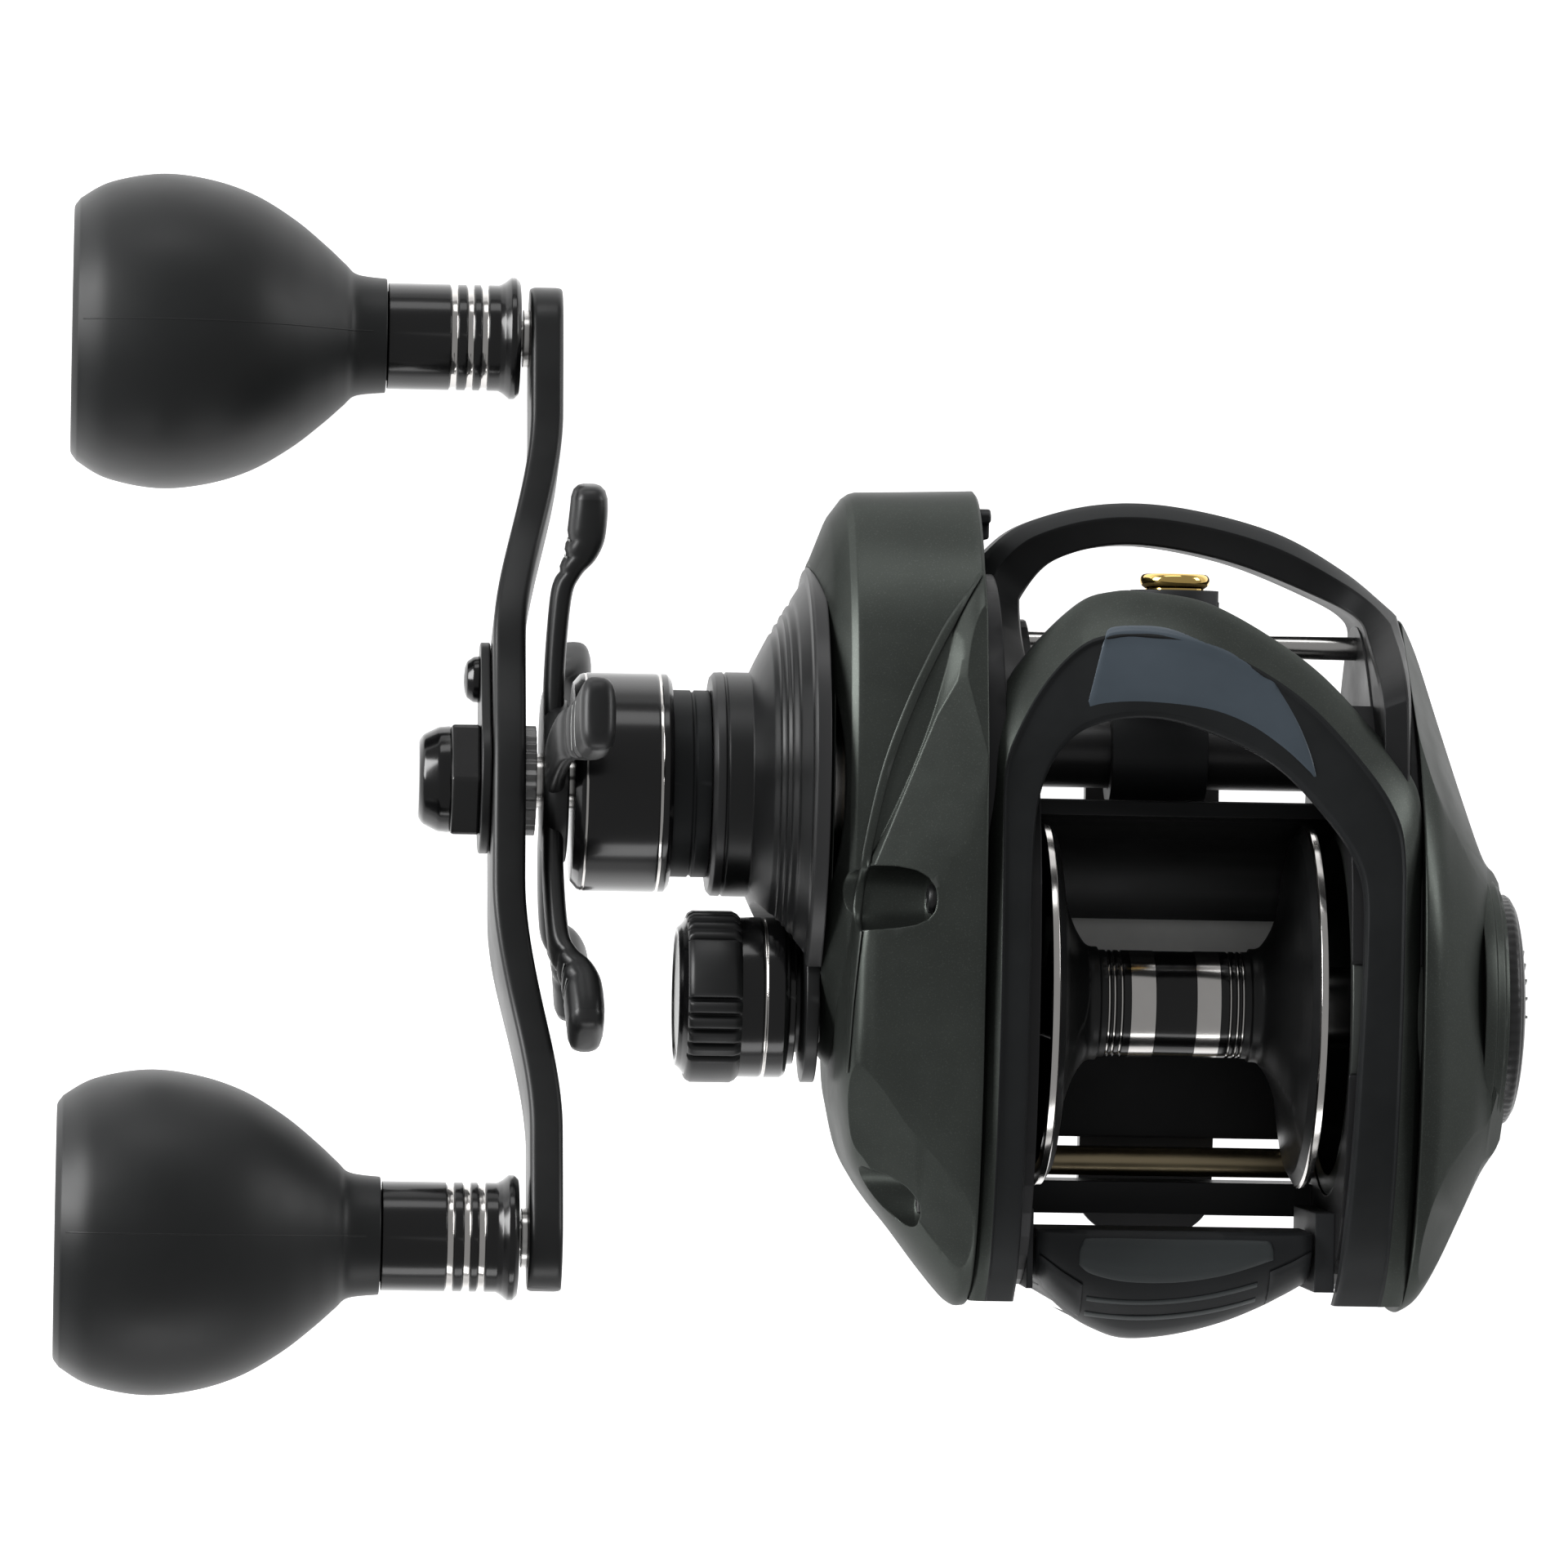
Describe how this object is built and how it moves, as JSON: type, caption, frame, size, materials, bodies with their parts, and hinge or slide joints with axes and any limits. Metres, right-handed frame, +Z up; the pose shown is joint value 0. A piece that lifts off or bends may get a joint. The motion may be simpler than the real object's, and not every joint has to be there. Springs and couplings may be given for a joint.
{
  "type": "baitcasting reel",
  "caption": "Low-profile baitcasting reel with a cranked double power handle, star drag, level wind with a gold guide ring, side brake dial and a rod foot.",
  "frame": {"origin": "on the flat underside of the reel foot, straight below the middle of the spool", "axes": "+X towards the palm side along the spool's axis, +Y towards the rod tip, +Z up away from the rod"},
  "size_m": [0.1599, 0.1334, 0.073],
  "materials": {
    "charcoal_coat": "satin",
    "green_gray_coat": "satin metallic",
    "black_anodised": "satin black anodised",
    "black_gloss": "polished black anodised",
    "soft_black": "soft matte",
    "inlay_blue": "satin blue-gray",
    "black_plastic": "fine grain",
    "steel": "polished",
    "brass": "machined",
    "bronze": "drawn",
    "gold_ring": "polished",
    "carbon_fibre": "woven",
    "magnet": "nickel plated"
  },
  "bodies": {
    "frame": {"frame": "charcoal_coat", "reel_foot": "black_anodised", "foot_screws": "steel", "hood": "charcoal_coat", "hood_inlay": "inlay_blue", "front_arch": "charcoal_coat", "handle_side_plate": "green_gray_coat", "gear_cover": "black_gloss", "side_plate_screws": "steel", "roller_clutch": "steel", "shaft_bearings": "steel", "worm_guard": "black_plastic", "worm_bushes": "brass", "guide_rail": "steel", "rear_rod": "bronze", "thumb_bar_guides": "black_plastic", "yoke_springs": "steel"},
    "palm": {"palm_side_plate": "green_gray_coat", "palm_bearing": "steel"},
    "dial": {"brake_dial": "black_anodised", "brake_magnets": "magnet"},
    "spool": {"spool": "black_gloss", "spool_shaft": "steel", "spool_pin": "steel", "brake_rotor": "steel"},
    "pinion": {"pinion_gear": "brass"},
    "yoke": {"clutch_yoke": "steel"},
    "cam": {"clutch_cam": "steel"},
    "thumb": {"thumb_bar": "black_plastic", "clutch_link": "steel"},
    "drive": {"drive_shaft": "steel", "kick_wheel": "steel", "worm_drive_gear": "brass", "drive_sleeve": "steel", "pressure_plate": "steel", "drag_plates": "steel", "spring_washers": "steel", "handle_spacer": "steel", "handle_arm": "black_anodised", "handle_nut": "black_anodised", "nut_retainer": "black_anodised", "retainer_screw": "black_anodised", "knob_posts": "steel"},
    "gear": {"main_gear": "brass", "drag_washers": "carbon_fibre"},
    "star": {"star_drag": "black_anodised", "drag_collar": "black_gloss"},
    "front_knob": {"front_knob_grip": "soft_black", "front_knob_collar": "black_gloss", "front_knob_bearings": "steel"},
    "rear_knob": {"rear_knob_grip": "soft_black", "rear_knob_collar": "black_gloss", "rear_knob_bearings": "steel"},
    "line_guide": {"line_guide": "black_plastic", "guide_insert": "gold_ring"},
    "pawl": {"guide_pawl": "brass"},
    "worm": {"worm_shaft": "steel", "worm_gear": "brass"},
    "tension": {"tension_knob": "black_gloss", "tension_pad": "carbon_fibre"}
  },
  "joints": [
    {"name": "handle_spin", "type": "hinge", "parent": "frame", "child": "drive", "pos_m": [-0.05, 0.0232, 0.0225], "axis": [1, 0, 0], "continuous": true},
    {"name": "main_gear_spin", "type": "hinge", "parent": "frame", "child": "gear", "pos_m": [-0.032, 0.0232, 0.0225], "axis": [1, 0, 0], "continuous": true},
    {"name": "star_drag_turn", "type": "hinge", "parent": "drive", "child": "star", "pos_m": [-0.066, 0.0232, 0.0225], "axis": [1, 0, 0], "range_deg": [-180, 180]},
    {"name": "yoke_lift", "type": "slide", "parent": "frame", "child": "yoke", "axis": [-1, 0, 0], "range_m": [0, 0.0015], "deforming": ["yoke_springs"]},
    {"name": "pinion_spin", "type": "hinge", "parent": "yoke", "child": "pinion", "pos_m": [-0.03, 0, 0.0265], "axis": [1, 0, 0], "continuous": true},
    {"name": "spool_spin", "type": "hinge", "parent": "frame", "child": "spool", "pos_m": [0, 0, 0.0265], "axis": [1, 0, 0], "continuous": true},
    {"name": "thumb_bar_press", "type": "slide", "parent": "frame", "child": "thumb", "axis": [0, 0, -1], "range_m": [0, 0.0045], "stiffness_N_per_m": 400},
    {"name": "clutch_cam_turn", "type": "hinge", "parent": "frame", "child": "cam", "pos_m": [-0.0246, 0, 0.0265], "axis": [1, 0, 0], "range_deg": [0, 20.6]},
    {"name": "worm_spin", "type": "hinge", "parent": "frame", "child": "worm", "pos_m": [0, 0.02756, 0.01603], "axis": [1, 0, 0], "continuous": true},
    {"name": "line_guide_travel", "type": "slide", "parent": "frame", "child": "line_guide", "axis": [1, 0, 0], "range_m": [-0.0095, 0.0105]},
    {"name": "pawl_swivel", "type": "hinge", "parent": "line_guide", "child": "pawl", "pos_m": [-0.0012, 0.02756, 0.01103], "axis": [0, 0, 1], "range_deg": [-25, 25]},
    {"name": "front_knob_spin", "type": "hinge", "parent": "drive", "child": "front_knob", "pos_m": [-0.1, 0.07241, 0.00351], "axis": [1, 0, 0], "continuous": true},
    {"name": "rear_knob_spin", "type": "hinge", "parent": "drive", "child": "rear_knob", "pos_m": [-0.1, -0.02601, 0.04149], "axis": [1, 0, 0], "continuous": true},
    {"name": "tension_knob_turn", "type": "hinge", "parent": "frame", "child": "tension", "pos_m": [-0.05, 0, 0.0265], "axis": [1, 0, 0], "range_deg": [-180, 180]},
    {"name": "palm_plate_off", "type": "slide", "parent": "frame", "child": "palm", "axis": [1, 0, 0], "range_m": [0, 0.035]},
    {"name": "brake_dial_turn", "type": "hinge", "parent": "palm", "child": "dial", "pos_m": [0.036, 0, 0.0265], "axis": [1, 0, 0], "range_deg": [0, 270]}
  ],
  "couplings": [
    {"joint": "main_gear_spin", "follows": "handle_spin", "ratio": 1},
    {"joint": "pinion_spin", "follows": "handle_spin", "ratio": -7.0909},
    {"joint": "spool_spin", "follows": "handle_spin", "ratio": -7.0909},
    {"joint": "worm_spin", "follows": "handle_spin", "ratio": -1.2941},
    {"joint": "yoke_lift", "follows": "thumb_bar_press", "ratio": 0.33333},
    {"joint": "clutch_cam_turn", "follows": "thumb_bar_press", "rad_per_m": 79.727}
  ]
}
